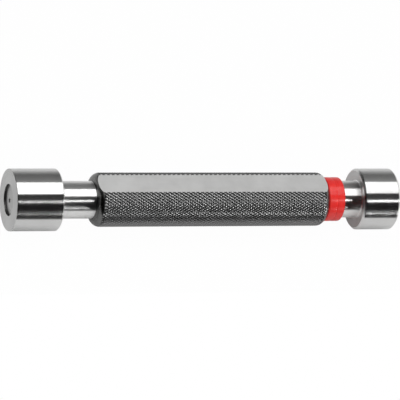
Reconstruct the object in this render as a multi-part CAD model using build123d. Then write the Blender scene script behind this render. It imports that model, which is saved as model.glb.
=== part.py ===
from build123d import *
import os

# A limit plug gauge: a GO member and a NO-GO member, each with a plug, a neck and a taper shank,
# wedged into the two ends of one knurled handle, and a red ring that marks the NO-GO side.
# The gauge axis is X, the GO plug is at -X and the marking flat of the handle faces +Z.
# The origin is on the axis, halfway along the gauge. All sizes are in millimetres.

# Plugs
GO_DIAMETER = 25.0
HOLE_TOLERANCE = 0.021  # what the NO-GO plug measures over the GO plug
GO_PLUG_LENGTH = 19.7
NO_GO_PLUG_LENGTH = 15.8
GO_FACE_CHAMFER = 0.2
GO_BACK_CHAMFER = 0.5
NO_GO_CHAMFER = 0.8  # at both edges

# Face of each plug: a shallow recess, with a floor that rises to the middle, shields the centre hole that
# the member was ground on
RECESS_DIAMETER = 12.8
RECESS_DEPTH = 1.0
RECESS_MIDDLE_DEPTH = 0.5
CENTRE_PILOT_DIAMETER = 1.0
CENTRE_PILOT_DEPTH = 1.5
CENTRE_MOUTH_DIAMETER = 2.4

# Necks, as far as they show
NECK_DIAMETER = 15.1
GO_NECK_LENGTH = 15.05
NO_GO_NECK_LENGTH = 7.1
NECK_ROOT_RADIUS = 0.4

# The back of each plug is dished towards the neck, so that the grinding wheel can run out there
DISH_DEPTH = 0.8

# Taper shanks and their seats in the handle
SHOULDER_WIDTH = 1.55  # step from the neck down to the shank
SHANK_LENGTH = 24.0
SHANK_CHAMFER = 0.5
TAPER_ON_RADIUS = 1 / 100  # a taper of 1 in 50 on the diameter
SEAT_CLEARANCE = 0.02  # left all round between shank and seat
SHOULDER_GAP = 0.1  # keeps the shoulder off the handle, so that only the taper seats
SEAT_RUN_OUT = 2.0  # how much deeper the seat is than the shank
SEAT_MOUTH_CHAMFER = 0.3

# Handle
HANDLE_DIAMETER = 21.85  # over the crests of the knurling
HANDLE_LENGTH = 99.5
END_LAND = 0.1  # flat end face that stands out past the neck
FLAT_DEPTH = 1.3
DRIFT_BORE_DIAMETER = 7.0  # lets a rod reach either shank to knock it out

# Red ring, pressed over the NO-GO neck against the end of the handle
RING_WALL = 1.45
RING_WIDTH = 6.85
RING_BORE_CLEARANCE = 0.01
RING_CHAMFER = 0.3
RING_CROWN = 0.05  # how far the middle of each land stands over its edges
RING_GROOVE_HALF_WIDTH = 0.15
RING_GROOVE_DEPTH = 0.12

# Radii that follow
NECK_RADIUS = NECK_DIAMETER / 2
SHANK_RADIUS = NECK_RADIUS - SHOULDER_WIDTH
HANDLE_RADIUS = HANDLE_DIAMETER / 2
END_FACE_RADIUS = NECK_RADIUS + END_LAND
END_ROUND = HANDLE_RADIUS - END_FACE_RADIUS
RING_RADIUS = NECK_RADIUS + RING_WALL

# Places along the axis that follow, from the GO face to the NO-GO face
GAUGE_LENGTH = (
    GO_PLUG_LENGTH + GO_NECK_LENGTH + HANDLE_LENGTH + RING_WIDTH + NO_GO_NECK_LENGTH + NO_GO_PLUG_LENGTH
)
GO_FACE_X = -GAUGE_LENGTH / 2
HANDLE_START_X = GO_FACE_X + GO_PLUG_LENGTH + GO_NECK_LENGTH
HANDLE_END_X = HANDLE_START_X + HANDLE_LENGTH
NO_GO_FACE_X = GAUGE_LENGTH / 2


def turned(outline):
    """Turn a closed outline, drawn with X along the axis and Y as the radius, into a solid."""
    return revolve(make_face(Polyline(*outline, close=True)), Axis.X)


def taper_radius(depth):
    """Radius of a seated shank at a depth below the end face of the handle."""
    return SHANK_RADIUS - depth * TAPER_ON_RADIUS


def centre_hole(face_x, inward):
    """Outline points of a centre hole, from its bottom on the axis to its mouth at face_x."""
    pilot = CENTRE_PILOT_DIAMETER / 2
    mouth = CENTRE_MOUTH_DIAMETER / 2
    cone_depth = (mouth - pilot) * 3**0.5  # a 60 degree cone
    bottom_x = face_x + inward * (cone_depth + CENTRE_PILOT_DEPTH)
    return [
        (bottom_x, 0),
        (bottom_x, pilot),
        (face_x + inward * cone_depth, pilot),
        (face_x, mouth),
    ]


def gauging_member(plug_diameter, plug_length, neck_length, face_chamfer, back_chamfer):
    """One turned and ground member, with its face at X = 0 and its shank towards +X."""
    plug = plug_diameter / 2
    recess = RECESS_DIAMETER / 2
    neck_start = plug_length - DISH_DEPTH
    seat_mouth = plug_length + neck_length
    shank_end = seat_mouth + SHANK_LENGTH
    tapered_length = SHANK_LENGTH - SHANK_CHAMFER
    outline = centre_hole(RECESS_MIDDLE_DEPTH, 1)
    outline += [
        (RECESS_DEPTH, recess),
        (0, recess),
        (0, plug - face_chamfer),
        (face_chamfer, plug),
        (plug_length - back_chamfer, plug),
        (plug_length, plug - back_chamfer),
        (neck_start, NECK_RADIUS),
        (seat_mouth - SHOULDER_GAP, NECK_RADIUS),
        (seat_mouth - SHOULDER_GAP, taper_radius(-SHOULDER_GAP)),
        (seat_mouth + tapered_length, taper_radius(tapered_length)),
        (shank_end, taper_radius(tapered_length) - SHANK_CHAMFER),
    ]
    outline += reversed(centre_hole(shank_end, -1))
    body = turned(outline)
    root = body.edges().filter_by(GeomType.CIRCLE).filter_by(
        lambda edge: abs(edge.radius - NECK_RADIUS) < 1e-6 and abs(edge.center().X - neck_start) < 1e-6
    )
    return fillet(root, NECK_ROOT_RADIUS)


def go_member():
    member = gauging_member(
        GO_DIAMETER,
        GO_PLUG_LENGTH,
        GO_NECK_LENGTH,
        GO_FACE_CHAMFER,
        GO_BACK_CHAMFER,
    )
    return Pos(GO_FACE_X, 0, 0) * member


def no_go_member():
    """Its neck runs on through the ring, so it is longer than what shows."""
    member = gauging_member(
        GO_DIAMETER + HOLE_TOLERANCE,
        NO_GO_PLUG_LENGTH,
        NO_GO_NECK_LENGTH + RING_WIDTH,
        NO_GO_CHAMFER,
        NO_GO_CHAMFER,
    )
    return Pos(NO_GO_FACE_X, 0, 0) * mirror(member, Plane.YZ)


def seat(mouth_x, inward):
    """Outline points of one taper seat, from the drift bore out to the end face of the handle."""
    depth = SHANK_LENGTH + SEAT_RUN_OUT
    bottom_x = mouth_x + inward * depth
    throat = taper_radius(SEAT_MOUTH_CHAMFER) + SEAT_CLEARANCE
    return [
        (bottom_x, DRIFT_BORE_DIAMETER / 2),
        (bottom_x, taper_radius(depth) + SEAT_CLEARANCE),
        (mouth_x + inward * SEAT_MOUTH_CHAMFER, throat),
        (mouth_x, throat + SEAT_MOUTH_CHAMFER),
    ]


def rounded_end(end_x, inward):
    """Outline of one end of the handle: its flat end face and its quarter round."""
    tangent = (end_x + inward * END_ROUND, HANDLE_RADIUS)
    rim = (end_x, END_FACE_RADIUS)
    start = seat(end_x, inward)[-1]
    middle_x = end_x + inward * END_ROUND * (1 - 0.5**0.5)
    middle = (middle_x, END_FACE_RADIUS + END_ROUND * 0.5**0.5)
    return Line(start, rim) + ThreePointArc(rim, middle, tangent)


def handle():
    """Round bar with rounded ends, a taper seat in each end and one milled marking flat."""
    left_seat = seat(HANDLE_START_X, 1)
    right_seat = seat(HANDLE_END_X, -1)
    side = Line(
        (HANDLE_START_X + END_ROUND, HANDLE_RADIUS),
        (HANDLE_END_X - END_ROUND, HANDLE_RADIUS),
    )
    bores = Polyline(*reversed(right_seat), *left_seat)
    outline = rounded_end(HANDLE_START_X, 1) + side + rounded_end(HANDLE_END_X, -1) + bores
    bar = revolve(make_face(outline), Axis.X)
    cutter = Pos(0, 0, HANDLE_RADIUS - FLAT_DEPTH) * Box(
        2 * GAUGE_LENGTH,
        2 * HANDLE_DIAMETER,
        2 * FLAT_DEPTH,
        align=(Align.CENTER, Align.CENTER, Align.MIN),
    )
    return bar - cutter


def ring_land(start_x, end_x):
    """Outline of one crowned land of the ring."""
    edge = RING_RADIUS - RING_CROWN
    return ThreePointArc((start_x, edge), ((start_x + end_x) / 2, RING_RADIUS), (end_x, edge))


def no_go_ring():
    """Two crowned lands with a fine groove between them, chamfered at both ends."""
    left_x = HANDLE_END_X
    right_x = HANDLE_END_X + RING_WIDTH
    middle_x = (left_x + right_x) / 2
    bore = NECK_RADIUS + RING_BORE_CLEARANCE
    edge = RING_RADIUS - RING_CROWN
    left_land = ring_land(left_x + RING_CHAMFER, middle_x - RING_GROOVE_HALF_WIDTH)
    right_land = ring_land(middle_x + RING_GROOVE_HALF_WIDTH, right_x - RING_CHAMFER)
    groove = Polyline(left_land @ 1, (middle_x, edge - RING_GROOVE_DEPTH), right_land @ 0)
    rest = Polyline(
        right_land @ 1,
        (right_x, edge - RING_CHAMFER),
        (right_x, bore),
        (left_x, bore),
        (left_x, edge - RING_CHAMFER),
        left_land @ 0,
    )
    return revolve(make_face(left_land + groove + right_land + rest), Axis.X)


PIECES = {
    "handle": handle,
    "go_member": go_member,
    "no_go_member": no_go_member,
    "no_go_ring": no_go_ring,
}

os.makedirs("parts", exist_ok=True)
for name, build in PIECES.items():
    export_step(build(), f"parts/{name}.step")
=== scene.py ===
# %% [markdown]
# # A limit plug gauge
# This lesson dresses a plug gauge: two bright ground steel members wedged into a knurled steel handle,
# with a red ring that marks the NO-GO side. The solids come first, as a fixed frame in metres: the gauge
# axis is X, the GO plug is at -X and the marking flat of the handle faces +Z.

# %% Load the solids and keep their box
import math

import bmesh
import bpy
from mathutils import Matrix, Vector


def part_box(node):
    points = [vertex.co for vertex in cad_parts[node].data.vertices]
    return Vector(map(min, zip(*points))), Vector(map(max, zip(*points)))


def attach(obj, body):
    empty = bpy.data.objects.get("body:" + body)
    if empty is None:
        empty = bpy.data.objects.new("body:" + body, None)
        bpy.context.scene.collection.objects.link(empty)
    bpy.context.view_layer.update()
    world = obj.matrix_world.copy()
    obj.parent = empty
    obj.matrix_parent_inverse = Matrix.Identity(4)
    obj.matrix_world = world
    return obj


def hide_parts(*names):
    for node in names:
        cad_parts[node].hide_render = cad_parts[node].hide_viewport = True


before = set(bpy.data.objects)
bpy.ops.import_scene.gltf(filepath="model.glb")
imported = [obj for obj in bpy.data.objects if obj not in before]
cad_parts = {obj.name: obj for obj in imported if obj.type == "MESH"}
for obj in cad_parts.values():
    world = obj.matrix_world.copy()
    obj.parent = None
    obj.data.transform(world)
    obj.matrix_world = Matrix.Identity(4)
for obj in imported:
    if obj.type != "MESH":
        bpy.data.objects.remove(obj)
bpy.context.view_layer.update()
MM = 0.001
AXIS = (1, 0, 0)

# %% [markdown]
# ## The camera
# A picture of a long round thing shows where it was taken from: the plug faces are ellipses, and how flat
# they are gives the angle to the axis; how much smaller the far plug looks gives the distance. The lens could
# be guessed by eye, but a fit to those ellipses is exact. It says: a long lens, one and a half metres away,
# turned 20 degrees from square, looking down at 48 degrees when the flat lies level.

# %% Camera
PICTURE_WIDTH = 400  # pixels
FOCAL_LENGTH = 3777.5  # pixels
SENSOR_WIDTH = 36
CAMERA_TURN = math.radians(19.94)
CAMERA_HEIGHT = math.radians(48.2)
CAMERA_ROLL = 0.0028  # radians
FACE_IN_CAMERA = (-76.19 * MM, 0.244 * MM, 1501.9 * MM)  # right, up and away, of the middle of the GO face

toward = Vector((0, -math.cos(CAMERA_HEIGHT), math.sin(CAMERA_HEIGHT)))
up = Vector((0, math.sin(CAMERA_HEIGHT), math.cos(CAMERA_HEIGHT)))
right = Vector(AXIS) * math.cos(CAMERA_TURN) + toward * math.sin(CAMERA_TURN)
away = Vector(AXIS) * math.sin(CAMERA_TURN) - toward * math.cos(CAMERA_TURN)
go_face_centre = Vector((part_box("go_member")[0].x, 0, 0))
camera_place = go_face_centre - right * FACE_IN_CAMERA[0] - up * FACE_IN_CAMERA[1] - away * FACE_IN_CAMERA[2]
rolled_right = right * math.cos(CAMERA_ROLL) - up * math.sin(CAMERA_ROLL)
rolled_up = up * math.cos(CAMERA_ROLL) + right * math.sin(CAMERA_ROLL)

camera_data = bpy.data.cameras.new("camera")
camera_data.sensor_width = SENSOR_WIDTH
camera_data.lens = SENSOR_WIDTH * (FOCAL_LENGTH / PICTURE_WIDTH)
camera = bpy.data.objects.new("camera", camera_data)
bpy.context.scene.collection.objects.link(camera)
turn_matrix = Matrix((rolled_right, rolled_up, -away)).transposed().to_4x4()
camera.matrix_world = Matrix.Translation(camera_place) @ turn_matrix
bpy.context.scene.camera = camera
bpy.context.scene.view_settings.view_transform = "Standard"
print("lens", round(camera_data.lens, 1), "mm, camera at", [round(c, 3) for c in camera_place])

# %% [markdown]
# ## Finishes
# All the steel of the gauge has one hue. What sets its parts apart is the tool that made each surface: a
# grinding wheel leaves a mirror with hair-fine rings, a lathe leaves coarser rings, a mill leaves straight
# streaks, and knurling wheels leave rough flanks. So there is one recipe for steel, and each finish gives it
# its own tool marks and its own shade; the bright neck and the dark handle ends, knurl roots and recess are
# painted light and shade. Painting rings in a picture would do for one view only; here they are noise,
# stretched along the way the tool ran, so they are on every side.

# %% Start a finish
STEEL = (0.60, 0.60, 0.595, 1)
METAL = 1.0
PLASTIC = 0.0


def start_finish(name, colour, metallic, roughness):
    """A material with a shader, its constants set, and the object's own coordinates to paint by."""
    material = bpy.data.materials.new(name)
    material.use_nodes = True
    material.diffuse_color = colour
    nodes = material.node_tree.nodes
    shader = nodes["Principled BSDF"]
    shader.inputs["Metallic"].default_value = metallic
    shader.inputs["Roughness"].default_value = roughness
    shader.inputs["Base Color"].default_value = colour
    place = nodes.new("ShaderNodeTexCoord")
    return material, shader, place.outputs["Object"]


def link(material, start, end):
    """Join two sockets."""
    material.node_tree.links.new(start, end)


# %% [markdown]
# A turned mark is a ring: it depends on the place along the axis and on the distance from it, and hardly at
# all on the way round. A milled mark runs the length of the gauge. Both are read from one noise by giving it
# stretched coordinates.

# %% Coordinates that follow the tool
def off_axis(material, place):
    """Distance of a point from the gauge axis."""
    nodes = material.node_tree.nodes
    across = nodes.new("ShaderNodeVectorMath")
    across.operation = "MULTIPLY"
    across.inputs[1].default_value = (0, 1, 1)
    distance = nodes.new("ShaderNodeVectorMath")
    distance.operation = "LENGTH"
    link(material, place, across.inputs[0])
    link(material, across.outputs["Vector"], distance.inputs[0])
    return distance.outputs["Value"]


def turned_place(material, place, drift):
    """(along the axis, off the axis, a slow drift round it): noise of this is rings."""
    nodes = material.node_tree.nodes
    split = nodes.new("ShaderNodeSeparateXYZ")
    slow = nodes.new("ShaderNodeMath")
    slow.operation = "MULTIPLY"
    slow.inputs[1].default_value = drift
    join = nodes.new("ShaderNodeCombineXYZ")
    link(material, place, split.inputs[0])
    link(material, split.outputs["Y"], slow.inputs[0])
    link(material, split.outputs["X"], join.inputs["X"])
    link(material, off_axis(material, place), join.inputs["Y"])
    link(material, slow.outputs["Value"], join.inputs["Z"])
    return join.outputs["Vector"]


def milled_place(material, place, drift):
    """Long along the gauge and short across it: noise of this is streaks."""
    stretch = material.node_tree.nodes.new("ShaderNodeMapping")
    stretch.inputs["Scale"].default_value = (drift, 1, 1)
    link(material, place, stretch.inputs["Vector"])
    return stretch.outputs["Vector"]


# %% [markdown]
# Marks finer than the eye can see still show: light that comes across them is spread wide, and light that
# comes along them stays narrow. So a ground plug shows the lamps as crisp bands along its length, and shows
# them even where a true mirror would miss them. The shader does this when it is told which way is across.

# %% Spread the gloss across the marks
def across_rings(material, place):
    """The way across turned rings: at right angles to the ring and to the surface's normal."""
    nodes = material.node_tree.nodes
    ring_way = nodes.new("ShaderNodeVectorMath")
    ring_way.operation = "CROSS_PRODUCT"
    ring_way.inputs[0].default_value = AXIS
    across = nodes.new("ShaderNodeVectorMath")
    across.operation = "CROSS_PRODUCT"
    normal = nodes.new("ShaderNodeNewGeometry")
    link(material, place, ring_way.inputs[1])
    link(material, ring_way.outputs["Vector"], across.inputs[0])
    link(material, normal.outputs["Normal"], across.inputs[1])
    return across.outputs["Vector"]


def across_streaks(material, place):
    """The way across milled streaks that run along the gauge."""
    across = material.node_tree.nodes.new("ShaderNodeCombineXYZ")
    across.inputs["Y"].default_value = 1
    return across.outputs["Vector"]


# %% Marks that change the gloss, the colour and the surface
NOISE_LOW = 0.3
NOISE_HIGH = 0.7


def add_noise(material, place, marks_per_mm, detail):
    """Noise with about this many marks to the millimetre."""
    noise = material.node_tree.nodes.new("ShaderNodeTexNoise")
    noise.inputs["Scale"].default_value = marks_per_mm / MM
    noise.inputs["Detail"].default_value = detail
    link(material, place, noise.inputs["Vector"])
    return noise.outputs["Fac"]


def add_range(material, value, low, high, from_low=NOISE_LOW, from_high=NOISE_HIGH):
    """Map a value to a range. A noise stays near the middle, so its own range is narrow."""
    mapped = material.node_tree.nodes.new("ShaderNodeMapRange")
    mapped.inputs["From Min"].default_value = from_low
    mapped.inputs["From Max"].default_value = from_high
    mapped.inputs["To Min"].default_value = low
    mapped.inputs["To Max"].default_value = high
    link(material, value, mapped.inputs["Value"])
    return mapped.outputs["Result"]


def add_tint(material, value, dark, light):
    """Mix two colours by a value from 0 to 1."""
    mix = material.node_tree.nodes.new("ShaderNodeMix")
    mix.data_type = "RGBA"
    mix.inputs["A"].default_value = dark
    mix.inputs["B"].default_value = light
    link(material, value, mix.inputs["Factor"])
    return mix.outputs["Result"]


def add_bump(material, shader, height, depth_mm):
    """Raise the surface by a height from 0 to 1, times a depth in mm."""
    bump = material.node_tree.nodes.new("ShaderNodeBump")
    bump.inputs["Strength"].default_value = 1
    bump.inputs["Distance"].default_value = depth_mm * MM
    link(material, height, bump.inputs["Height"])
    link(material, bump.outputs["Normal"], shader.inputs["Normal"])


# %% Steel, with the marks of one tool
TURNED = (turned_place, across_rings)
MILLED = (milled_place, across_streaks)
MARK_DRIFT = 0.02  # how little a mark changes along the way the tool ran
MARK_DETAIL = 3
CLOUDS_PER_MM = 0.15
CLOUD_DETAIL = 2
FINEST_GLOSS = 0.02


def steel(name, marks, roughness, spread, marks_per_mm, depth_mm, shade=1.0, dull=0.9, one_way=0.0):
    """Bare steel: marks change its gloss by spread, its colour by dull, and scratch it; one_way aligns it."""
    marks_place, marks_across = marks
    colour = (STEEL[0] * shade, STEEL[1] * shade, STEEL[2] * shade, 1)
    material, shader, place = start_finish(name, colour, METAL, roughness)
    fine = add_noise(material, marks_place(material, place, MARK_DRIFT), marks_per_mm, MARK_DETAIL)
    cloud = add_noise(material, place, CLOUDS_PER_MM, CLOUD_DETAIL)
    gloss = add_range(material, fine, max(roughness - spread, FINEST_GLOSS), roughness + spread)
    dulled = (colour[0] * dull, colour[1] * dull, colour[2] * dull, 1)
    tint = add_tint(material, add_range(material, cloud, 0, 1), dulled, colour)
    link(material, gloss, shader.inputs["Roughness"])
    link(material, tint, shader.inputs["Base Color"])
    shader.inputs["Anisotropic"].default_value = one_way
    link(material, marks_across(material, place), shader.inputs["Tangent"])
    add_bump(material, shader, fine, depth_mm)
    return material


# %% The finish that each tool leaves
lapped_steel = steel(
    "lapped_steel", TURNED, roughness=0.215, spread=0.05, marks_per_mm=5.0, depth_mm=0.0004,
    shade=1.2, dull=0.94, one_way=1.0,
)
# The neck is a brighter copy of the plug's ground steel: painted light, so the bands it mirrors come out
# brighter.
neck_steel = steel(
    "ground_neck_steel", TURNED, roughness=0.31, spread=0.03, marks_per_mm=4.0, depth_mm=0.0001,
    shade=1.5, dull=0.94, one_way=1.0,
)
faced_steel = steel(
    "faced_steel", TURNED, roughness=0.32, spread=0.06, marks_per_mm=3.0, depth_mm=0.002,
    shade=1.25, one_way=0.5,
)
back_steel = steel(
    "turned_back_steel", TURNED, roughness=0.38, spread=0.08, marks_per_mm=2.5, depth_mm=0.003,
    shade=1.05, one_way=0.3,
)
recess_steel = steel(
    "turned_recess_steel", TURNED, roughness=0.42, spread=0.08, marks_per_mm=2.5, depth_mm=0.004,
    shade=1.12,
)
# Very dark steel for the wall of the recess and the bottom of the centre hole: painted shade in these
# hollows.
recess_shade_steel = steel(
    "recess_shade_steel", TURNED, roughness=0.5, spread=0.08, marks_per_mm=2.5, depth_mm=0.004, shade=0.2
)
shank_steel = steel(
    "ground_shank_steel", TURNED, roughness=0.22, spread=0.05, marks_per_mm=4.0, depth_mm=0.001
)
# A very low shade for the rounded ends of the handle: painted shade, much darker than the same steel on the
# flat.
round_steel = steel(
    "turned_end_steel", TURNED, roughness=0.26, spread=0.08, marks_per_mm=2.2, depth_mm=0.004,
    shade=0.32, dull=0.7, one_way=0.6,
)
milled_steel = steel(
    "milled_flat_steel", MILLED, roughness=0.5, spread=0.06, marks_per_mm=2.5, depth_mm=0.003,
    shade=1.28, one_way=0.3,
)
bore_steel = steel(
    "bored_steel", TURNED, roughness=0.45, spread=0.08, marks_per_mm=2.0, depth_mm=0.005, shade=0.6
)

# %% [markdown]
# The knurling is the same steel, but the wheels tear it a little. Its colour is darkened by distance from the
# axis, most at the root, as painted shade in the grooves; it is a little rougher at the root, and lighter and
# worn smooth at the crests.

# %% Knurled steel
HANDLE_RADIUS = 10.925
CUT_FLANK = (0.40, 0.29)  # width and rise of the flank that the wheels leave
WORN_TOP = (0.10, 0.03)  # and of the worn part above it
KNURL_SLOPES = (CUT_FLANK, WORN_TOP)
KNURL_DEPTH = sum(rise for width, rise in KNURL_SLOPES)
knurl_root = HANDLE_RADIUS - KNURL_DEPTH
# Dark at the root and lighter at the crests, by distance from the axis: painted shade in the grooves of the
# knurl.
GROOVE_SHADE_STEEL = (0.04, 0.04, 0.04, 1)
CREST_STEEL = (0.42, 0.42, 0.42, 1)
ROOT_ROUGHNESS = 0.30
CREST_ROUGHNESS = 0.23
TEARS_PER_MM = 6.0
TEAR_DETAIL = 4
TEAR_DEPTH = 0.002


def knurled_finish():
    """Steel painted darker towards the root of the knurl, as painted shade in the grooves, and smoother at
    its crests.
    """
    material, shader, place = start_finish("knurled_steel", CREST_STEEL, METAL, CREST_ROUGHNESS)
    height = add_range(material, off_axis(material, place), 0, 1, knurl_root * MM, HANDLE_RADIUS * MM)
    torn = add_noise(material, place, TEARS_PER_MM, TEAR_DETAIL)
    link(material, add_tint(material, height, GROOVE_SHADE_STEEL, CREST_STEEL), shader.inputs["Base Color"])
    gloss = add_range(material, height, ROOT_ROUGHNESS, CREST_ROUGHNESS, 0, 1)
    link(material, gloss, shader.inputs["Roughness"])
    add_bump(material, shader, torn, TEAR_DEPTH)
    return material


knurled_steel = knurled_finish()

# %% [markdown]
# The red ring is moulded and skimmed on the lathe: a semi-gloss red with faint rings in it. It is no metal,
# so its highlight stays pale, and the fine rings draw that highlight out along the gauge.

# %% Red of the ring
RING_RED = (0.95, 0.040, 0.032, 1)
RING_DEEP_RED = (0.86, 0.030, 0.028, 1)
RING_ONE_WAY = 0.97
RING_ROUGHNESS = 0.3
RING_SPREAD = 0.04
RING_IOR = 1.5
RING_DRIFT = 0.05
RINGS_PER_MM = 2.0
RING_CLOUDS_PER_MM = 0.4
RING_DETAIL = 3
RING_MARK_DEPTH = 0.003


def ring_finish():
    """Red plastic with faint turned rings and a slow change of colour."""
    material, shader, place = start_finish("ring_red", RING_RED, PLASTIC, RING_ROUGHNESS)
    shader.inputs["IOR"].default_value = RING_IOR
    rings = add_noise(material, turned_place(material, place, RING_DRIFT), RINGS_PER_MM, RING_DETAIL)
    cloud = add_noise(material, place, RING_CLOUDS_PER_MM, RING_DETAIL)
    tint = add_tint(material, add_range(material, cloud, 0, 1), RING_DEEP_RED, RING_RED)
    gloss = add_range(material, rings, RING_ROUGHNESS - RING_SPREAD, RING_ROUGHNESS + RING_SPREAD)
    link(material, tint, shader.inputs["Base Color"])
    link(material, gloss, shader.inputs["Roughness"])
    shader.inputs["Anisotropic"].default_value = RING_ONE_WAY
    link(material, across_rings(material, place), shader.inputs["Tangent"])
    add_bump(material, shader, rings, RING_MARK_DEPTH)
    return material


red_plastic = ring_finish()
print("finishes:", [material.name for material in bpy.data.materials])

# %% [markdown]
# ## Turning on the lathe
# Every piece of the gauge is turned, so all of them start in the same way: half of the outline is drawn point
# by point, by extruding one vertex, and then spun round the axis. A cylinder could be stacked on a cylinder
# instead, but one spun outline gives one closed skin, with every shoulder, chamfer and recess where the
# drawing has it.

# %% Draw and spin an outline
TURNING_STEPS = 192
WELD = 0.001 * MM


def start_outline(name, x, radius):
    """A new object whose mesh is one vertex, at a place along the axis and a radius in millimetres."""
    bpy.ops.object.select_all(action="DESELECT")
    bpy.ops.mesh.primitive_plane_add(size=MM, location=(x * MM, 0, radius * MM))
    piece = bpy.context.object
    piece.name = name
    piece.data.name = name
    bpy.ops.object.transform_apply(location=True, rotation=True, scale=True)
    bpy.ops.object.mode_set(mode="EDIT")
    bpy.ops.mesh.select_all(action="SELECT")
    bpy.ops.mesh.merge(type="CENTER")
    return piece


def draw_to(here, points):
    """Extrude the selected vertex from here through each of the points; all are (x, radius) in mm."""
    for point in points:
        step = ((point[0] - here[0]) * MM, 0, (point[1] - here[1]) * MM)
        bpy.ops.mesh.extrude_region_move(TRANSFORM_OT_translate={"value": step})
        here = point
    return here


def draw_arc(here, centre, degrees, steps):
    """Swing the selected vertex round a centre, seen from -Y; a positive angle goes from +Z towards +X."""
    bpy.ops.mesh.spin(
        steps=steps, angle=-math.radians(degrees), center=(centre[0] * MM, 0, centre[1] * MM), axis=(0, 1, 0)
    )
    turn = Matrix.Rotation(math.radians(degrees), 3, "Y")
    arm = turn @ Vector((here[0] - centre[0], 0, here[1] - centre[1]))
    return (centre[0] + arm.x, centre[1] + arm.z)


def spin_round(piece):
    """Spin the drawn outline once round the axis and weld it into one closed skin."""
    bpy.ops.mesh.select_all(action="SELECT")
    bpy.ops.mesh.spin(steps=TURNING_STEPS, angle=2 * math.pi, center=(0, 0, 0), axis=AXIS)
    bpy.ops.mesh.select_all(action="SELECT")
    bpy.ops.mesh.remove_doubles(threshold=WELD)
    bpy.ops.mesh.normals_make_consistent(inside=False)
    bpy.ops.object.mode_set(mode="OBJECT")
    print(piece.name, "turned:", len(piece.data.polygons), "faces")


# %% [markdown]
# Sharp turned edges are never quite sharp: a stone takes the burr off, and the thin line that is left catches
# the light. A bevel a few hundredths wide does the same. The wide faces beside it then need weighted normals,
# or the bevel would bend the reflections all the way across them.

# %% Break the sharp edges
SHARP_ANGLE = math.radians(30)
BEVEL_STEPS = 2
WIDEST_FACE_ONLY = 100


def break_edges(piece, width):
    """Bevel every edge that turns by more than the sharp angle, width in mm, and settle the shading."""
    bpy.ops.object.mode_set(mode="EDIT")
    bpy.ops.mesh.select_all(action="DESELECT")
    bpy.ops.mesh.select_mode(type="EDGE")
    bpy.ops.mesh.edges_select_sharp(sharpness=SHARP_ANGLE)
    bpy.ops.mesh.bevel(offset=width * MM, segments=BEVEL_STEPS, affect="EDGES")
    bpy.ops.mesh.select_mode(type="VERT")
    bpy.ops.object.mode_set(mode="OBJECT")
    settle_shading(piece)


def settle_shading(piece):
    """Smooth shading up to the sharp angle, with normals that lean to the widest face."""
    bpy.ops.object.shade_smooth_by_angle(angle=SHARP_ANGLE)
    weighting = piece.modifiers.new("weighted normals", "WEIGHTED_NORMAL")
    weighting.keep_sharp = True
    weighting.weight = WIDEST_FACE_ONLY
    bpy.ops.object.modifier_apply(modifier=weighting.name)


# %% [markdown]
# ## The two gauging members
# Each member is one piece of hardened steel: plug, neck and a taper shank that is wedged in the handle. The
# plug's face has a shallow recess, which keeps the centre hole in it from being bruised. Both members have
# the same outline with other lengths, so one function draws either, face first, in millimetres from the face.

# %% Draw a member
FACE_RECESS = 6.4
RECESS_DEPTH = 1.0
RECESS_MIDDLE_DEPTH = 0.5
CENTRE_MOUTH = 1.2
CENTRE_PILOT = 0.5
CENTRE_CONE_DEPTH = (CENTRE_MOUTH - CENTRE_PILOT) * math.sqrt(3)
CENTRE_PILOT_DEPTH = 1.5
DISH_DEPTH = 0.8
NECK_RADIUS = 7.55
NECK_ROOT = 0.4  # a small chamfer where the neck meets the back of the plug
SHANK_RADIUS = 6.0
SHANK_LENGTH = 24.0
SHANK_TAPER = 0.01
SHANK_CHAMFER = 0.5
SHOULDER_GAP = 0.1
EDGE_BREAK = 0.06


def centre_hole(mouth_depth, inward):
    """Corners of a centre hole from its mouth to its bottom on the axis, as (depth, radius) in mm."""
    cone_depth = mouth_depth + inward * CENTRE_CONE_DEPTH
    bottom_depth = cone_depth + inward * CENTRE_PILOT_DEPTH
    return [
        (mouth_depth, CENTRE_MOUTH),
        (cone_depth, CENTRE_PILOT),
        (bottom_depth, CENTRE_PILOT),
        (bottom_depth, 0),
    ]


def member_outline(plug_radius, plug_length, neck_length, face_chamfer, back_chamfer):
    """Corners of a member from the middle of its face to the end of its shank, as (depth, radius) in mm."""
    root = plug_length - DISH_DEPTH
    dish_slope = -DISH_DEPTH / (plug_radius - back_chamfer - NECK_RADIUS)
    mouth = plug_length + neck_length
    end = mouth + SHANK_LENGTH
    shank_end = SHANK_RADIUS - SHANK_TAPER * SHANK_LENGTH
    plug_and_neck = [
        (RECESS_DEPTH, FACE_RECESS),
        (0, FACE_RECESS),
        (0, plug_radius - face_chamfer),
        (face_chamfer, plug_radius),
        (plug_length - back_chamfer, plug_radius),
        (plug_length, plug_radius - back_chamfer),
        (root - NECK_ROOT * dish_slope, NECK_RADIUS + NECK_ROOT),
        (root + NECK_ROOT, NECK_RADIUS),
        (mouth - SHOULDER_GAP, NECK_RADIUS),
    ]
    shank = [
        (mouth - SHOULDER_GAP, SHANK_RADIUS),
        (end - SHANK_CHAMFER, shank_end),
        (end, shank_end - SHANK_CHAMFER),
    ]
    return centre_hole(RECESS_MIDDLE_DEPTH, 1)[::-1] + plug_and_neck + shank + centre_hole(end, -1)


def turn_member(name, face_x, inward, *sizes):
    """Draw a member's outline, inwards from its face, and spin it."""
    corners = [(face_x + inward * depth, radius) for depth, radius in member_outline(*sizes)]
    member = start_outline(name, *corners[0])
    draw_to(corners[0], corners[1:])
    spin_round(member)
    break_edges(member, EDGE_BREAK)
    return member


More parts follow.
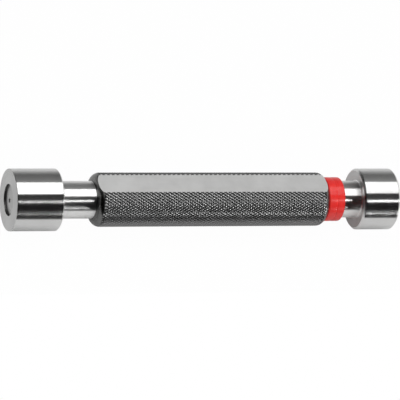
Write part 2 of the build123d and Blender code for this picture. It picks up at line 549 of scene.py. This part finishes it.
# %% Turn both members
GO_RADIUS = 12.5
GO_LENGTH = 19.7
GO_NECK = 15.05
GO_FACE_CHAMFER = 0.2
GO_BACK_CHAMFER = 0.5
NO_GO_RADIUS = 12.5105
NO_GO_LENGTH = 15.8
NO_GO_CHAMFER = 0.8
NO_GO_BARE_NECK = 7.1
RING_WIDTH = 6.85
NO_GO_NECK = NO_GO_BARE_NECK + RING_WIDTH  # it runs on through the ring

go_face_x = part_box("go_member")[0].x / MM
no_go_face_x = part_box("no_go_member")[1].x / MM
go_sizes = (GO_RADIUS, GO_LENGTH, GO_NECK, GO_FACE_CHAMFER, GO_BACK_CHAMFER)
no_go_sizes = (NO_GO_RADIUS, NO_GO_LENGTH, NO_GO_NECK, NO_GO_CHAMFER, NO_GO_CHAMFER)
go_member = turn_member("go_plug_and_neck", go_face_x, 1, *go_sizes)
no_go_member = turn_member("no_go_plug_and_neck", no_go_face_x, -1, *no_go_sizes)
for member in (go_member, no_go_member):
    print(member.name, [round(side / MM, 2) for side in member.dimensions])

# %% [markdown]
# The tools left different finishes on one member, so its faces are sorted by where they are and which way
# they look. The plug was ground and lapped, the neck was ground, and the flat ring of the face was faced. The
# back of the plug and the recess were only turned. The wall of the recess and the bottom of the centre hole
# are painted dark: painted shade for the shade deep in these hollows.

# %% Give a piece its finishes by place
def paint(piece, finishes, choose):
    """Fill the piece's slots. Choose tells each face's slot from its place, off-axis distance and normal."""
    piece.data.materials.clear()
    for finish in finishes:
        piece.data.materials.append(finish)
    for face in piece.data.polygons:
        middle = face.center / MM
        face.material_index = choose(middle.x, math.hypot(middle.y, middle.z), face.normal)


member_finishes = (lapped_steel, neck_steel, faced_steel, back_steel, recess_steel, recess_shade_steel, shank_steel)
GROUND, NECK, FACED, BACK, RECESS, RECESS_SHADE, SHANK = range(len(member_finishes))
FLAT_ON = 0.9  # how much of a face's normal lies along the axis, at least, on a flat end


def member_zone(face_x, inward, plug_length, neck_length):
    """A function that sorts the faces of one member into the finishes above."""

    def zone(x, radius, normal):
        depth = (x - face_x) * inward
        flat_on = abs(normal.x) > FLAT_ON
        if depth > plug_length + neck_length - 2 * SHOULDER_GAP:
            return SHANK
        if depth > plug_length - DISH_DEPTH and radius < NECK_RADIUS + NECK_ROOT:
            return NECK
        # The bottom of the centre hole and the wall of the recess take the painted shade finish.
        if radius < CENTRE_PILOT + EDGE_BREAK:
            return RECESS_SHADE
        if radius < CENTRE_MOUTH + EDGE_BREAK:
            return RECESS
        if radius < FACE_RECESS + EDGE_BREAK and depth > EDGE_BREAK:
            return RECESS if flat_on else RECESS_SHADE
        if flat_on:
            return FACED if depth < plug_length / 2 else BACK
        return GROUND

    return zone


paint(go_member, member_finishes, member_zone(go_face_x, 1, GO_LENGTH, GO_NECK))
paint(no_go_member, member_finishes, member_zone(no_go_face_x, -1, NO_GO_LENGTH, NO_GO_NECK))

# %% [markdown]
# ## The red ring
# The ring is a moulded collar pressed over the neck. Its two lands are crowned a little, with a fine groove
# between them, and that is what splits its highlight into two soft spots. A plain tube would show one long
# bar of light, so each land is drawn as a shallow arc.

# %% Turn the ring
RING_RADIUS = 9.0
RING_CROWN = 0.05
RING_CHAMFER = 0.3
GROOVE_HALF_WIDTH = 0.15
GROOVE_DEPTH = 0.12
RING_CLEARANCE = 0.01
RING_BORE = NECK_RADIUS + RING_CLEARANCE
LAND_STEPS = 8

ring_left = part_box("no_go_ring")[0].x / MM
ring_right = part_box("no_go_ring")[1].x / MM
ring_middle = (ring_left + ring_right) / 2


def draw_land(here, end_x):
    """Draw one crowned land of the ring as an arc from here to end_x, at the same radius."""
    half = (end_x - here[0]) / 2
    crown_radius = (half**2 + RING_CROWN**2) / (2 * RING_CROWN)
    centre = (here[0] + half, here[1] + RING_CROWN - crown_radius)
    sweep = 2 * math.degrees(math.asin(half / crown_radius))
    return draw_arc(here, centre, sweep, LAND_STEPS)


land_edge = RING_RADIUS - RING_CROWN
ring = start_outline("red_ring", ring_left, RING_BORE)
pen = draw_to(
    (ring_left, RING_BORE),
    [(ring_left, land_edge - RING_CHAMFER), (ring_left + RING_CHAMFER, land_edge)],
)
pen = draw_land(pen, ring_middle - GROOVE_HALF_WIDTH)
pen = draw_to(pen, [(ring_middle, land_edge - GROOVE_DEPTH), (ring_middle + GROOVE_HALF_WIDTH, land_edge)])
pen = draw_land(pen, ring_right - RING_CHAMFER)
pen = draw_to(pen, [(ring_right, land_edge - RING_CHAMFER), (ring_right, RING_BORE), (ring_left, RING_BORE)])
spin_round(ring)
break_edges(ring, EDGE_BREAK)
ring.data.materials.append(red_plastic)
print(ring.name, [round(side / MM, 2) for side in ring.dimensions])

# %% [markdown]
# ## The handle, as it is made
# The real handle starts as a bar. Two wheels roll a diamond knurl into it, then the ends are turned round,
# the taper seats are bored, and last a flat is milled along it for the marking. Knurling could be faked with
# a bump texture, but its outline, its shadows and the bitten edges of the flat would be missing. So it is
# made in that same order here: a knurled sleeve, cut by a turned blank, and then cut flat.
#
# ### Knurling
# One diamond is modelled on a flat sheet and repeated along and across. Each diamond is inset and raised
# twice, first for the steep flank that the wheels leave and then for the low top that hands have worn. The
# sheet is rolled up into a sleeve with its seam on top, where the flat takes it away.

# %% Roll the knurling
KNURL_STARTS = 54
KNURL_PITCH = 1.985  # along the axis
SPARE = 3.0  # how far the sleeve runs past each end of the handle

girth_pitch = 2 * math.pi * knurl_root / KNURL_STARTS
handle_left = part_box("handle")[0].x / MM
handle_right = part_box("handle")[1].x / MM
sleeve_start = handle_left - SPARE
rows = math.ceil((handle_right + SPARE - sleeve_start) / KNURL_PITCH)


def repeat(piece, count, step):
    """Copy a piece count times, each a step in mm from the last, with an array that is applied."""
    copies = piece.modifiers.new("repeat", "ARRAY")
    copies.count = count
    copies.use_relative_offset = False
    copies.use_constant_offset = True
    copies.constant_offset_displace = [part * MM for part in step]
    bpy.ops.object.modifier_apply(modifier=copies.name)


bpy.ops.object.select_all(action="DESELECT")
bpy.ops.mesh.primitive_plane_add(size=MM)
handle = bpy.context.object
handle.name = "knurled_handle"
handle.data.name = handle.name
handle.rotation_euler = (0, 0, math.radians(45))
bpy.ops.object.transform_apply(rotation=True)
handle.scale = (KNURL_PITCH / math.sqrt(2), girth_pitch / math.sqrt(2), 1)
bpy.ops.object.transform_apply(scale=True)
handle.rotation_euler = (math.radians(90), 0, 0)
handle.location.x = sleeve_start * MM
bpy.ops.object.transform_apply(location=True, rotation=True)
bpy.ops.object.mode_set(mode="EDIT")
bpy.ops.mesh.select_all(action="SELECT")
half_step = (KNURL_PITCH / 2 * MM, 0, girth_pitch / 2 * MM)
bpy.ops.mesh.duplicate_move(TRANSFORM_OT_translate={"value": half_step})
bpy.ops.object.mode_set(mode="OBJECT")
repeat(handle, rows, (KNURL_PITCH, 0, 0))
repeat(handle, KNURL_STARTS + 1, (0, 0, girth_pitch))
print("one sheet of", len(handle.data.polygons), "diamonds")

# %% [markdown]
# The sheet must be cut straight before it is rolled, exactly as long as the bar is round, or the two edges
# would not meet. The roll itself is a bend of a full turn.

# %% Raise the diamonds and roll the sheet up
girth = KNURL_STARTS * girth_pitch
bpy.ops.object.mode_set(mode="EDIT")
bpy.ops.mesh.select_all(action="SELECT")
bpy.ops.mesh.remove_doubles(threshold=WELD)
bpy.ops.mesh.select_all(action="SELECT")
for width, rise in KNURL_SLOPES:
    bpy.ops.mesh.inset(thickness=width * MM, depth=rise * MM, use_individual=True)
sheet_cuts = [
    ((0, 0, 0), (0, 0, -1)),
    ((0, 0, girth * MM), (0, 0, 1)),
    ((sleeve_start * MM, 0, 0), (-1, 0, 0)),
    (((sleeve_start + (rows - 1) * KNURL_PITCH) * MM, 0, 0), (1, 0, 0)),
]
for place, outwards in sheet_cuts:
    bpy.ops.mesh.select_all(action="SELECT")
    bpy.ops.mesh.bisect(plane_co=place, plane_no=outwards, clear_outer=True)
bpy.ops.object.mode_set(mode="OBJECT")
roll = handle.modifiers.new("roll", "SIMPLE_DEFORM")
roll.deform_method = "BEND"
roll.deform_axis = "X"
roll.angle = 2 * math.pi
bpy.ops.object.modifier_apply(modifier=roll.name)
handle.data.materials.append(knurled_steel)
print("sleeve", [round(side / MM, 3) for side in handle.dimensions])

# %% [markdown]
# Blender can make the faces of a closed piece agree, but which way is out it judges by one far face, and the
# jagged ends of the bar mislead it. The volume tells for certain: it is negative where a piece is inside out.

# %% Measure a piece and turn it the right way out
def volume(piece):
    """Volume of a closed piece in cubic mm, negative where its faces point inwards."""
    mesh = bmesh.new()
    mesh.from_mesh(piece.data)
    signed = mesh.calc_volume(signed=True) / MM**3
    mesh.free()
    return signed


def face_outwards(piece):
    """Turn all faces over where they point inwards."""
    if volume(piece) < 0:
        bpy.ops.object.mode_set(mode="EDIT")
        bpy.ops.mesh.select_all(action="SELECT")
        bpy.ops.mesh.flip_normals()
        bpy.ops.object.mode_set(mode="OBJECT")


# %% Centre the sleeve, turn its seam up and close its ends
handle.location.y = -knurl_root * MM
bpy.ops.object.transform_apply(location=True)
handle.rotation_euler = (math.radians(-90), 0, 0)
bpy.ops.object.transform_apply(rotation=True)
bpy.ops.object.mode_set(mode="EDIT")
bpy.ops.mesh.select_all(action="SELECT")
bpy.ops.mesh.remove_doubles(threshold=WELD)
bpy.ops.mesh.select_all(action="DESELECT")
bpy.ops.mesh.select_non_manifold()
bpy.ops.mesh.edge_face_add()
bpy.ops.mesh.select_all(action="SELECT")
bpy.ops.mesh.normals_make_consistent(inside=False)
bpy.ops.object.mode_set(mode="OBJECT")
face_outwards(handle)
print("knurled bar", len(handle.data.polygons), "faces")
print("sides", [round(side / MM, 2) for side in handle.dimensions])

# %% [markdown]
# ### Turning and boring
# The blank is what the knurled bar is turned down to: rounded ends, a taper seat in each end and a smaller
# bore between them, for the rod that knocks a member out. Along the knurling it stands well clear, so the
# cut touches only the ends and the bore, and the knurling runs out into the rounds as it does on the lathe.

# %% Turn the blank
END_FACE_RADIUS = 7.65
END_ROUND = HANDLE_RADIUS - END_FACE_RADIUS
CLEAR_OF_KNURL = 1.0
SEAT_CLEARANCE = 0.02
SEAT_DEPTH = 26.0
SEAT_CHAMFER = 0.3
DRIFT_BORE = 3.5
ROUND_STEPS = 14


def seat_outline(mouth_x, inward):
    """Corners of a taper seat from the drift bore out to the mouth, as (x, radius) in mm."""
    mouth = SHANK_RADIUS + SEAT_CLEARANCE
    return [
        (mouth_x + inward * SEAT_DEPTH, DRIFT_BORE),
        (mouth_x + inward * SEAT_DEPTH, mouth - SEAT_DEPTH * SHANK_TAPER),
        (mouth_x + inward * SEAT_CHAMFER, mouth),
        (mouth_x, mouth + SEAT_CHAMFER),
    ]


left_seat = seat_outline(handle_left, 1)
right_seat = seat_outline(handle_right, -1)
blank = start_outline("turned_blank", *left_seat[0])
pen = draw_to(left_seat[0], left_seat[1:] + [(handle_left, END_FACE_RADIUS)])
pen = draw_arc(pen, (handle_left + END_ROUND, END_FACE_RADIUS), degrees=90, steps=ROUND_STEPS)
pen = draw_to(
    pen,
    [
        (pen[0], HANDLE_RADIUS + CLEAR_OF_KNURL),
        (handle_right - END_ROUND, HANDLE_RADIUS + CLEAR_OF_KNURL),
        (handle_right - END_ROUND, HANDLE_RADIUS),
    ],
)
pen = draw_arc(pen, (handle_right - END_ROUND, END_FACE_RADIUS), degrees=90, steps=ROUND_STEPS)
draw_to(pen, right_seat[::-1] + [left_seat[0]])
spin_round(blank)

# %% Cut one piece with another
def cut_with(piece, tool, operation):
    """Keep what a boolean leaves of the piece. Each new surface takes the finish of the tool that cut it."""
    cut = piece.modifiers.new("cut", "BOOLEAN")
    cut.operation = operation
    cut.solver = "MANIFOLD"
    cut.material_mode = "TRANSFER"
    cut.object = tool
    bpy.ops.object.select_all(action="DESELECT")
    piece.select_set(True)
    bpy.context.view_layer.objects.active = piece
    bpy.ops.object.modifier_apply(modifier=cut.name)
    bpy.data.objects.remove(tool)
    sides = [round(side / MM, 2) for side in piece.dimensions]
    print(piece.name, "cut:", len(piece.data.polygons), "faces", sides)


paint(blank, (round_steel, bore_steel), lambda x, radius, normal: int(radius < SHANK_RADIUS + SEAT_CHAMFER))
cut_with(handle, blank, "INTERSECT")

# %% [markdown]
# ### Milling the flat
# The mill cuts 1.3 millimetres into the bar, so the long edges of the flat are bitten by the diamonds, and
# its ends curve where it runs out through the rounded ends. The block that is taken away stands for the
# path of the milling cutter.

# %% Mill the flat
CUTTER_HEIGHT = 5.0
flat_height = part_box("handle")[1].z / MM
bpy.ops.object.select_all(action="DESELECT")
bpy.ops.mesh.primitive_cube_add(size=MM, location=(0, 0, (flat_height + CUTTER_HEIGHT / 2) * MM))
cutter_path = bpy.context.object
cutter_path.scale = (2 * handle_right, 3 * HANDLE_RADIUS, CUTTER_HEIGHT)
bpy.ops.object.transform_apply(location=True, scale=True)
cutter_path.data.materials.append(milled_steel)
cut_with(handle, cutter_path, "DIFFERENCE")
settle_shading(handle)
for piece in (go_member, no_go_member, ring, handle):
    print(piece.name, "volume", round(volume(piece)), "cubic mm")

# %% [markdown]
# ## Putting the pieces in place of the solids
# The pieces were modelled where the solids are, so nothing has to be moved. Each one takes the place of its
# solid and rides on the same body: the ring goes with the NO-GO member when that is knocked out.

# %% Ride on the bodies
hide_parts("go_member")
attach(go_member, "go_side")
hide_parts("no_go_member")
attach(no_go_member, "no_go_side")
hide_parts("no_go_ring")
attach(ring, "no_go_side")
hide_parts("handle")
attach(handle, "handle")

# %% [markdown]
# ## The studio
# Bright steel has hardly a colour of its own: it shows the room. Each band along the plugs is a thing in that
# room, and the angle at which it stands follows from where on the plug it is seen. Read like that, the photo
# shows a gauge near the front edge of a white table, a wide soft light overhead, a dim wall behind, and two
# narrow bright lights well to the right, one in front and one below the edge of the table. All angles here go
# round the gauge: 0 is the front horizon, 90 is overhead and 180 is the back horizon.
#
# The table is a plain matt white. The camera sees it lifted to white, with a trace of the shadow left. The
# metal mirrors it lifted only a little, so the bottom of the gauge still darkens where it touches.

# %% Table
TABLE_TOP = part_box("no_go_member")[0].z
TABLE_FRONT = -0.039  # all lengths of the studio are in metres
TABLE_SIZE = 6.0
TABLE_COLOUR = (0.8, 0.8, 0.8, 1)
CAMERA_LIFT = 0.98
MIRROR_LIFT = 0.12


def start_nodes(material):
    """The empty node tree of a material or a world, with its output."""
    material.use_nodes = True
    nodes = material.node_tree.nodes
    nodes.clear()
    is_world = isinstance(material, bpy.types.World)
    return nodes, nodes.new("ShaderNodeOutputWorld" if is_world else "ShaderNodeOutputMaterial")


def lift_to_white(material, nodes, seen, output, camera_share, mirror_share):
    """Mix plain white into what the camera sees of a shader, and into what mirrors and glass see of it."""
    is_world = isinstance(material, bpy.types.World)
    white = nodes.new("ShaderNodeBackground" if is_world else "ShaderNodeEmission")
    white.inputs["Color"].default_value = (1, 1, 1, 1)
    white.inputs["Strength"].default_value = 1
    rays = nodes.new("ShaderNodeLightPath")
    mirror = nodes.new("ShaderNodeMath")
    mirror.operation = "MAXIMUM"
    mirror_part = nodes.new("ShaderNodeMath")
    mirror_part.operation = "MULTIPLY"
    mirror_part.inputs[1].default_value = mirror_share
    share = nodes.new("ShaderNodeMath")
    share.operation = "MULTIPLY_ADD"
    share.inputs[1].default_value = camera_share
    mix = nodes.new("ShaderNodeMixShader")
    link(material, rays.outputs["Is Glossy Ray"], mirror.inputs[0])
    link(material, rays.outputs["Is Transmission Ray"], mirror.inputs[1])
    link(material, mirror.outputs["Value"], mirror_part.inputs[0])
    link(material, rays.outputs["Is Camera Ray"], share.inputs[0])
    link(material, mirror_part.outputs["Value"], share.inputs[2])
    link(material, share.outputs["Value"], mix.inputs["Fac"])
    link(material, seen.outputs[0], mix.inputs[1])
    link(material, white.outputs[0], mix.inputs[2])
    link(material, mix.outputs["Shader"], output.inputs["Surface"])


bpy.ops.object.select_all(action="DESELECT")
bpy.ops.mesh.primitive_plane_add(size=TABLE_SIZE, location=(0, TABLE_FRONT + TABLE_SIZE / 2, TABLE_TOP))
table = bpy.context.object
table.name = "table"
table_white = bpy.data.materials.new("pale_table")
nodes, output = start_nodes(table_white)
matt = nodes.new("ShaderNodeBsdfDiffuse")
matt.inputs["Color"].default_value = TABLE_COLOUR
lift_to_white(table_white, nodes, matt, output, camera_share=CAMERA_LIFT, mirror_share=MIRROR_LIFT)
table.data.materials.append(table_white)

# %% [markdown]
# The GO plug shades the table right where its face mirrors it, and yet that face is bright in the photo. So
# there is a white card on the table to the left of it. Only mirrors see the card, and it throws no light.

# %% White card beside the GO face
CARD_GREY = 0.56
CARD_LIFT = 0.0001
CARD_SIZE = 0.12
CARD_GAP = 0.0002
CARD_BACK = CARD_SIZE / 3  # how far its middle lies behind the gauge axis

card_middle = (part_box("go_member")[0].x - CARD_GAP - CARD_SIZE / 2, CARD_BACK, TABLE_TOP + CARD_LIFT)
bpy.ops.object.select_all(action="DESELECT")
bpy.ops.mesh.primitive_plane_add(size=CARD_SIZE, location=card_middle)
card = bpy.context.object
card.name = "white_card"
# The card glows by itself and is no lamp: a painted reflection for the GO face.
card_white = bpy.data.materials.new("white_card")
nodes, output = start_nodes(card_white)
glow = nodes.new("ShaderNodeEmission")
glow.inputs["Color"].default_value = (CARD_GREY, CARD_GREY, CARD_GREY, 1)
link(card_white, glow.outputs["Emission"], output.inputs["Surface"])
card.data.materials.append(card_white)
card.visible_camera = False
card.visible_diffuse = False
card.visible_shadow = False

# %% [markdown]
# The softbox hangs overhead and reaches as far to the left as to the right. The two narrow lights stand far
# to the right, where no true mirror on the gauge would show them: only the fine marks spread their light this
# far. It is also why their bands stop short of the handle and of the NO-GO plug, which stand in the way of
# that slanting light. The fill light is for the ring and the table. Mirrors don't see it, because polished
# steel would show it as one more band.

# %% Lamps
LAMP_DISTANCE = 2.0


def lamp(name, low, high, left, right, radiance):
    """A flat lamp from low to high round the gauge and from left to right along it, all in degrees."""
    middle = math.radians((low + high) / 2)
    left_x = LAMP_DISTANCE * math.tan(math.radians(left))
    right_x = LAMP_DISTANCE * math.tan(math.radians(right))
    data = bpy.data.lights.new(name, "AREA")
    data.shape = "RECTANGLE"
    data.size = right_x - left_x
    data.size_y = 2 * LAMP_DISTANCE * math.tan(math.radians((high - low) / 2))
    data.energy = radiance * math.pi * data.size * data.size_y
    towards_lamp = Vector((0, -math.cos(middle), math.sin(middle)))
    across = Vector((0, math.sin(middle), math.cos(middle)))
    light = bpy.data.objects.new(name, data)
    bpy.context.scene.collection.objects.link(light)
    turn = Matrix((Vector(AXIS), across, towards_lamp)).transposed().to_4x4()
    place = towards_lamp * LAMP_DISTANCE + Vector(AXIS) * (left_x + right_x) / 2
    light.matrix_world = Matrix.Translation(place) @ turn
    light.visible_camera = False
    print(name, [round(side, 2) for side in (data.size, data.size_y)], "m,", round(data.energy), "W")
    return light


lamp("overhead_softbox", low=69, high=114, left=-28, right=27, radiance=2.3)
lamp("front_light", low=34, high=44, left=40, right=56, radiance=18.0)
lamp("low_light", low=-27, high=-17, left=45, right=62, radiance=18.0)
fill_light = lamp("fill_light", low=15, high=55, left=-30, right=10, radiance=2.0)
fill_light.visible_glossy = False

# %% [markdown]
# The room itself is nearly black in front, dim behind the softbox and bright low at the back, where the table
# runs up into a white sweep. Its left side is darker than the rest, its right side is brighter, and a pale
# wall closes it far to the right. The camera sees plain white instead. The metal mirrors the room, as it does
# in the photo, so the share of that white in mirrors is zero here.

# %% World
BACK_HORIZON = 180
ROOM = {  # degrees round the gauge, and the grey of the room there
    0: 0.008,
    40: 0.008,
    50: 0.03,
    66: 0.03,
    118: 0.28,
    126: 0.22,
    140: 0.165,
    156: 0.12,
    169: 0.34,
    BACK_HORIZON: 0.6,
}
LEFT_SHADE = 0.2
LEFT_SPAN = (-0.5, 0.1)  # each span is where a change starts and ends, as the sine of the angle to the right
RIGHT_GAIN = 3.0
RIGHT_SPAN = (0.4, 0.75)
RIGHT_WALL = 0.25
RIGHT_WALL_SPAN = (0.85, 0.97)


def add_math(material, operation, first, second):
    """A math node whose inputs are sockets or plain numbers."""
    node = material.node_tree.nodes.new("ShaderNodeMath")
    node.operation = operation
    for socket, value in zip(node.inputs, (first, second)):
        if isinstance(value, (int, float)):
            socket.default_value = value
        else:
            link(material, value, socket)
    return node.outputs["Value"]


world = bpy.data.worlds.new("studio")
bpy.context.scene.world = world
nodes, output = start_nodes(world)
direction = nodes.new("ShaderNodeTexCoord")
split = nodes.new("ShaderNodeSeparateXYZ")
tone = nodes.new("ShaderNodeValToRGB")
room = nodes.new("ShaderNodeBackground")
link(world, direction.outputs["Generated"], split.inputs[0])
angle = add_math(world, "ARCTAN2", split.outputs["Z"], add_math(world, "MULTIPLY", split.outputs["Y"], -1))
link(world, add_math(world, "DIVIDE", angle, math.pi), tone.inputs["Fac"])
right_wall = add_range(world, split.outputs["X"], 0, RIGHT_WALL, *RIGHT_WALL_SPAN)
lit = nodes.new("ShaderNodeMix")
lit.data_type = "RGBA"
lit.blend_type = "ADD"
lit.inputs["Factor"].default_value = 1
link(world, tone.outputs["Color"], lit.inputs["A"])
link(world, right_wall, lit.inputs["B"])
link(world, lit.outputs["Result"], room.inputs["Color"])
left_side = add_range(world, split.outputs["X"], LEFT_SHADE, 1, *LEFT_SPAN)
right_side = add_range(world, split.outputs["X"], 1, RIGHT_GAIN, *RIGHT_SPAN)
link(world, add_math(world, "MULTIPLY", left_side, right_side), room.inputs["Strength"])
stops = tone.color_ramp.elements
for place, (degrees, grey) in enumerate(ROOM.items()):
    stop = stops[place] if place < 2 else stops.new(degrees / BACK_HORIZON)
    stop.position = degrees / BACK_HORIZON
    stop.color = (grey, grey, grey, 1)
lift_to_white(world, nodes, room, output, camera_share=1, mirror_share=0)
